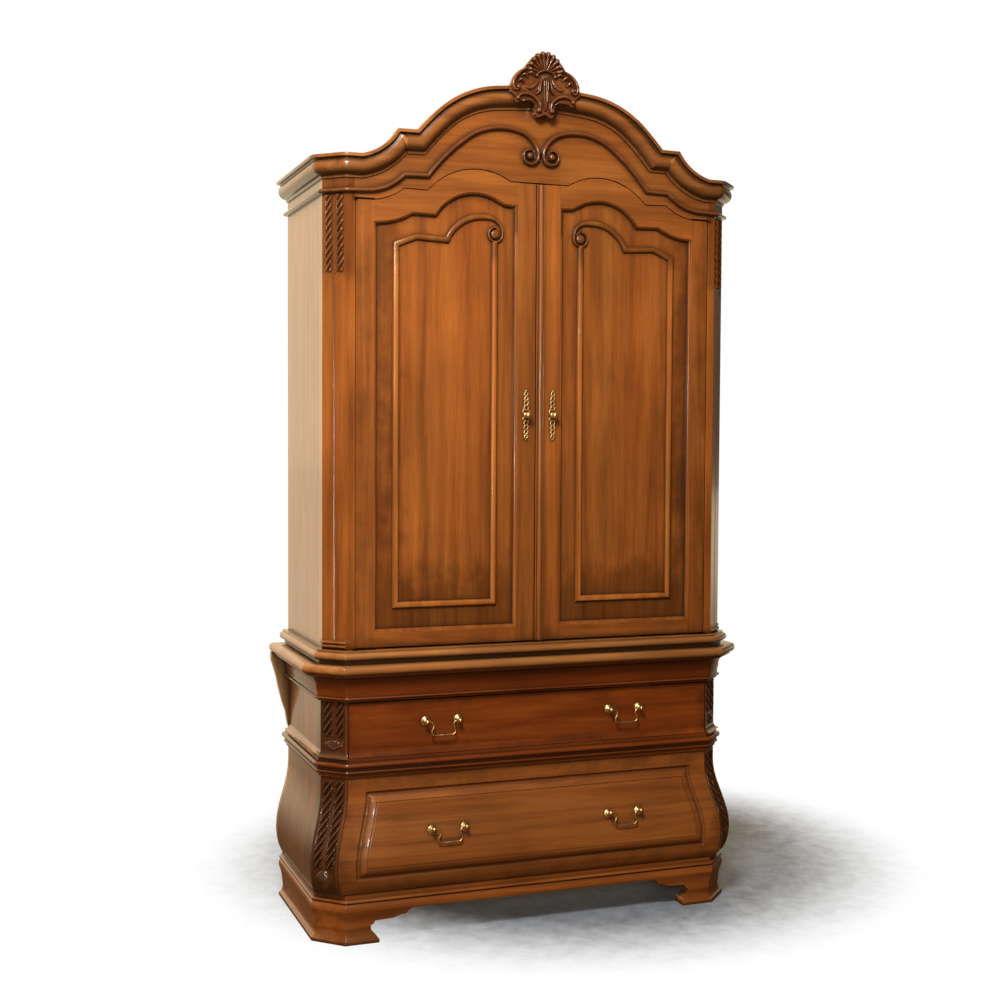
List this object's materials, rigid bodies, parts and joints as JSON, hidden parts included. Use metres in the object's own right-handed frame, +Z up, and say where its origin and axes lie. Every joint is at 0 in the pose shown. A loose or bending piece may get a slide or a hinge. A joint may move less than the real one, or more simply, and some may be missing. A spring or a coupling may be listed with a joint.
{
  "type": "armoire",
  "caption": "Two-door press cabinet with an arched scroll bonnet, standing on a two-drawer chest with a bombe front and sides, bracket feet and brass pulls.",
  "frame": {"origin": "on the floor under the middle of the bounding box", "axes": "+Z up, +X to the viewer's right, -Y out of the front"},
  "size_m": [1.278, 0.512, 2.3535],
  "materials": {
    "cherry": "warm red-brown cherry, satin lacquer with dark glaze in the recesses",
    "dark_cherry": "carved cherry with heavy dark glaze",
    "inside_wood": "plain pale secondary wood, matt",
    "antique_brass": "antique brass, worn on the high spots"
  },
  "bodies": {
    "carcase": {"cabinet_side_left": "cherry", "cabinet_side_right": "cherry", "cabinet_post_left": "cherry", "cabinet_post_right": "cherry", "cabinet_top": "inside_wood", "cabinet_base": "cherry", "cabinet_back": "inside_wood", "shelf_upper": "inside_wood", "shelf_lower": "inside_wood", "pediment_board": "cherry", "crown": "cherry", "scroll_bead_left": "cherry", "scroll_bead_right": "cherry", "shell_crest": "dark_cherry", "hinge_upper_case_left": "antique_brass", "hinge_upper_case_right": "antique_brass", "hinge_lower_case_left": "antique_brass", "hinge_lower_case_right": "antique_brass", "waist_board": "cherry", "waist_cove": "cherry", "chest_side_left": "cherry", "chest_side_right": "cherry", "chest_post_left": "cherry", "chest_post_right": "cherry", "mid_belt": "cherry", "chest_back": "inside_wood", "drawer_divider": "inside_wood", "chest_base_board": "cherry", "bracket_base": "cherry"},
    "door_left": {"door_frame_left": "cherry", "door_panel_left": "cherry", "panel_moulding_left": "cherry", "pull_plate_left": "antique_brass", "door_knob_left": "antique_brass", "hinge_upper_door_left": "antique_brass", "hinge_lower_door_left": "antique_brass"},
    "door_right": {"door_frame_right": "cherry", "door_panel_right": "cherry", "panel_moulding_right": "cherry", "pull_plate_right": "antique_brass", "door_knob_right": "antique_brass", "hinge_upper_door_right": "antique_brass", "hinge_lower_door_right": "antique_brass", "astragal": "cherry"},
    "drawer_upper": {"drawer_front_upper": "cherry", "drawer_box_upper": "inside_wood", "pull_post_upper_left_a": "antique_brass", "pull_post_upper_left_b": "antique_brass", "pull_post_upper_right_a": "antique_brass", "pull_post_upper_right_b": "antique_brass"},
    "drawer_lower": {"drawer_front_lower": "cherry", "drawer_box_lower": "inside_wood", "pull_post_lower_left_a": "antique_brass", "pull_post_lower_left_b": "antique_brass", "pull_post_lower_right_a": "antique_brass", "pull_post_lower_right_b": "antique_brass"},
    "bail_upper_left": {"bail_upper_left": "antique_brass"},
    "bail_upper_right": {"bail_upper_right": "antique_brass"},
    "bail_lower_left": {"bail_lower_left": "antique_brass"},
    "bail_lower_right": {"bail_lower_right": "antique_brass"}
  },
  "joints": [
    {"name": "door_left_swing", "type": "hinge", "parent": "carcase", "child": "door_left", "pos_m": [-0.5115, -0.2155, 0.7775], "axis": [0, 0, -1], "range_deg": [0, 110]},
    {"name": "door_right_swing", "type": "hinge", "parent": "carcase", "child": "door_right", "pos_m": [0.5115, -0.2155, 0.7775], "axis": [0, 0, 1], "range_deg": [0, 110]},
    {"name": "drawer_upper_slide", "type": "slide", "parent": "carcase", "child": "drawer_upper", "axis": [0, -1, 0], "range_m": [0, 0.32]},
    {"name": "drawer_lower_slide", "type": "slide", "parent": "carcase", "child": "drawer_lower", "axis": [0, -1, 0], "range_m": [0, 0.32]},
    {"name": "bail_upper_left_swing", "type": "hinge", "parent": "drawer_upper", "child": "bail_upper_left", "pos_m": [-0.268, -0.2185, 0.573], "axis": [-1, 0, 0], "range_deg": [-15, 85]},
    {"name": "bail_upper_right_swing", "type": "hinge", "parent": "drawer_upper", "child": "bail_upper_right", "pos_m": [0.268, -0.2185, 0.573], "axis": [-1, 0, 0], "range_deg": [-15, 85]},
    {"name": "bail_lower_left_swing", "type": "hinge", "parent": "drawer_lower", "child": "bail_lower_left", "pos_m": [-0.257, -0.24501, 0.29125], "axis": [-1, 0, 0], "range_deg": [-8, 85]},
    {"name": "bail_lower_right_swing", "type": "hinge", "parent": "drawer_lower", "child": "bail_lower_right", "pos_m": [0.257, -0.24501, 0.29125], "axis": [-1, 0, 0], "range_deg": [-8, 85]}
  ]
}
